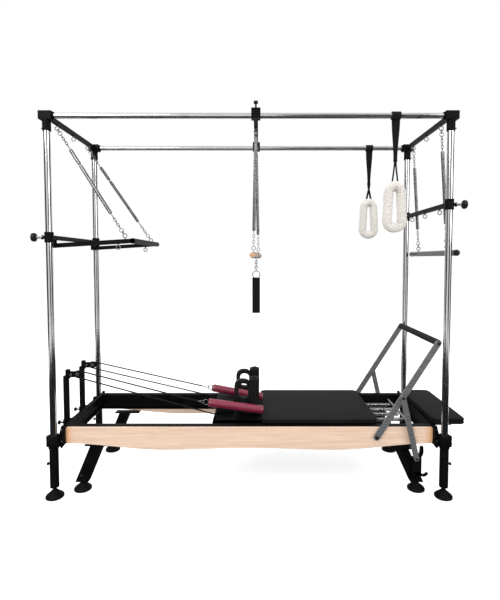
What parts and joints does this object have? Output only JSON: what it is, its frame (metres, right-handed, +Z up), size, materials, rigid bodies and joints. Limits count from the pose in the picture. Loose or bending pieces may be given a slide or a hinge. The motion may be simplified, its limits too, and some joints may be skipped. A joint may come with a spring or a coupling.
{
  "type": "pilates tower unit",
  "caption": "Low sliding-carriage exercise bed under a tall tube tower, with sprung push, roll-down and trapeze bars, loops, foot bar and ropes.",
  "frame": {"origin": "on the floor under the middle of the bounding box", "axes": "+X towards the foot end of the bed, +Y towards the back, +Z up"},
  "size_m": [2.52, 0.802, 2.284],
  "materials": {
    "chrome": "polished",
    "black_steel": "satin powder coat",
    "black_plastic": "moulded",
    "timber": "clear lacquer",
    "grey_metal": "brushed",
    "roll_metal": "satin",
    "upholstery": "soft satin",
    "foam": "closed cell foam",
    "spring_steel": "bright drawn wire",
    "fleece": "deep pile",
    "webbing": "woven",
    "cord": "braided",
    "red_grip": "soft cover"
  },
  "bodies": {
    "root": {"post_front_head": "chrome", "post_front_foot": "chrome", "post_back_head": "chrome", "post_back_foot": "chrome", "top_tube_front": "chrome", "top_tube_back": "chrome", "head_cross_bar": "black_steel", "foot_cross_bar": "black_steel", "leg_front_head": "black_steel", "leg_front_foot": "black_steel", "leg_back_head": "black_steel", "leg_back_foot": "black_steel", "inner_leg_front_head": "black_steel", "inner_leg_front_foot": "black_steel", "inner_leg_back_head": "black_steel", "inner_leg_back_foot": "black_steel", "side_rail_front": "timber", "side_rail_back": "timber", "track_front": "black_steel", "track_back": "black_steel", "head_end_beam": "black_steel", "foot_end_beam": "black_steel", "standing_platform": "upholstery", "riser_front": "black_steel", "riser_back": "black_steel", "carriage_springs": "spring_steel", "rope_front": "cord", "rope_back": "cord"},
    "sheave_front": {"pulley_front": "black_plastic"},
    "sheave_back": {"pulley_back": "black_plastic"},
    "carriage": {"carriage_frame": "black_steel", "carriage_pad": "upholstery", "headrest": "upholstery", "shoulder_rest_front": "black_plastic", "shoulder_rest_back": "black_plastic", "handle_front": "red_grip", "handle_back": "red_grip"},
    "axle_head": {"wheel_axle_head": "black_plastic"},
    "axle_foot": {"wheel_axle_foot": "black_plastic"},
    "foot_rest": {"foot_bar": "grey_metal", "foot_roller": "foam"},
    "struts": {"foot_strut_front": "grey_metal", "foot_strut_back": "grey_metal"},
    "push_carrier": {"push_slider": "black_steel", "push_spring_front": "spring_steel", "push_spring_back": "spring_steel"},
    "push_pin": {"push_pull_pin": "black_plastic"},
    "push_arm": {"push_bar": "black_steel"},
    "roll_carrier": {"roll_slider": "black_steel"},
    "roll_pin": {"roll_pull_pin": "black_plastic"},
    "roll_springs": {"roll_spring_front": "spring_steel", "roll_spring_back": "spring_steel"},
    "roll_handle": {"roll_bar": "roll_metal"},
    "trapeze_carrier": {"trapeze_slider": "black_steel"},
    "trapeze_springs": {"trapeze_spring_front": "spring_steel", "trapeze_spring_back": "spring_steel"},
    "trapeze_handle": {"trapeze_bar": "timber"},
    "strap": {"trapeze_strap": "webbing"},
    "fleece_front": {"loop_front": "fleece"},
    "fleece_back": {"loop_back": "fleece"}
  },
  "joints": [
    {"name": "pulley_front_spin", "type": "hinge", "parent": "root", "child": "sheave_front", "pos_m": [-1.11, -0.12, 0.665], "axis": [0, 1, 0], "continuous": true},
    {"name": "pulley_back_spin", "type": "hinge", "parent": "root", "child": "sheave_back", "pos_m": [-1.11, 0.12, 0.665], "axis": [0, 1, 0], "continuous": true},
    {"name": "carriage_slide", "type": "slide", "parent": "root", "child": "carriage", "axis": [-1, 0, 0], "range_m": [0, 0.75], "stiffness_N_per_m": 120, "springref_m": -0.1, "deforming": ["carriage_springs", "rope_front", "rope_back"]},
    {"name": "head_axle_roll", "type": "hinge", "parent": "carriage", "child": "axle_head", "pos_m": [-0.17, 0, 0.3623], "axis": [0, 1, 0], "continuous": true},
    {"name": "foot_axle_roll", "type": "hinge", "parent": "carriage", "child": "axle_foot", "pos_m": [0.64, 0, 0.3623], "axis": [0, 1, 0], "continuous": true},
    {"name": "footbar_fold", "type": "hinge", "parent": "root", "child": "foot_rest", "pos_m": [0.733, 0, 0.344], "axis": [0, -1, 0], "range_deg": [-40, 105]},
    {"name": "footbar_support", "type": "hinge", "parent": "foot_rest", "child": "struts", "pos_m": [0.88179, 0, 0.58119], "axis": [0, -1, 0], "range_deg": [-90, 35]},
    {"name": "push_slider_slide", "type": "slide", "parent": "root", "child": "push_carrier", "axis": [0, 0, 1], "range_m": [-0.45, 0.1], "deforming": ["push_spring_front", "push_spring_back"]},
    {"name": "push_pin_pull", "type": "slide", "parent": "push_carrier", "child": "push_pin", "axis": [-1, 0, 0], "range_m": [0, 0.012], "stiffness_N_per_m": 1500, "springref_m": -0.01},
    {"name": "push_bar_swing", "type": "hinge", "parent": "push_carrier", "child": "push_arm", "pos_m": [-1.16, 0, 1.472], "axis": [0, 1, 0], "range_deg": [0, 75], "stiffness_Nm_per_rad": 30, "springref_deg": -68.75, "deforming": ["push_spring_front", "push_spring_back"]},
    {"name": "roll_slider_slide", "type": "slide", "parent": "root", "child": "roll_carrier", "axis": [0, 0, 1], "range_m": [-0.22, 0.05]},
    {"name": "roll_pin_pull", "type": "slide", "parent": "roll_carrier", "child": "roll_pin", "axis": [1, 0, 0], "range_m": [0, 0.012], "stiffness_N_per_m": 1500, "springref_m": -0.01},
    {"name": "roll_swing", "type": "hinge", "parent": "root", "child": "roll_springs", "pos_m": [1.12, 0, 2.1675], "axis": [0, -1, 0], "range_deg": [0, 50]},
    {"name": "roll_bar_pull", "type": "slide", "parent": "roll_springs", "child": "roll_handle", "axis": [0.0655, 0, -0.9979], "range_m": [0, 0.4], "stiffness_N_per_m": 150, "springref_m": -0.25, "deforming": ["roll_spring_front", "roll_spring_back"]},
    {"name": "trapeze_slide", "type": "slide", "parent": "root", "child": "trapeze_carrier", "axis": [1, 0, 0], "range_m": [-0.6, 0.7]},
    {"name": "trapeze_swing", "type": "hinge", "parent": "trapeze_carrier", "child": "trapeze_springs", "pos_m": [0.02, 0, 2.161], "axis": [0, 1, 0], "range_deg": [-35, 35]},
    {"name": "trapeze_pull", "type": "slide", "parent": "trapeze_springs", "child": "trapeze_handle", "axis": [0, 0, -1], "range_m": [0, 0.3], "stiffness_N_per_m": 100, "springref_m": -0.2, "deforming": ["trapeze_spring_front", "trapeze_spring_back"]},
    {"name": "strap_swing", "type": "hinge", "parent": "trapeze_handle", "child": "strap", "pos_m": [0.02, 0, 1.418], "axis": [0.0785, 0.9969, 0], "range_deg": [-60, 60]},
    {"name": "loop_front_swing", "type": "hinge", "parent": "root", "child": "fleece_front", "pos_m": [0.809, -0.35, 2.2], "axis": [1, 0, 0], "range_deg": [-40, 40]},
    {"name": "loop_back_swing", "type": "hinge", "parent": "root", "child": "fleece_back", "pos_m": [0.842, 0.35, 2.2], "axis": [1, 0, 0], "range_deg": [-40, 40]}
  ],
  "couplings": [
    {"joint": "head_axle_roll", "follows": "carriage_slide", "rad_per_m": -45.455},
    {"joint": "foot_axle_roll", "follows": "carriage_slide", "rad_per_m": -45.455},
    {"joint": "footbar_support", "follows": "footbar_fold", "ratio": -0.79}
  ]
}
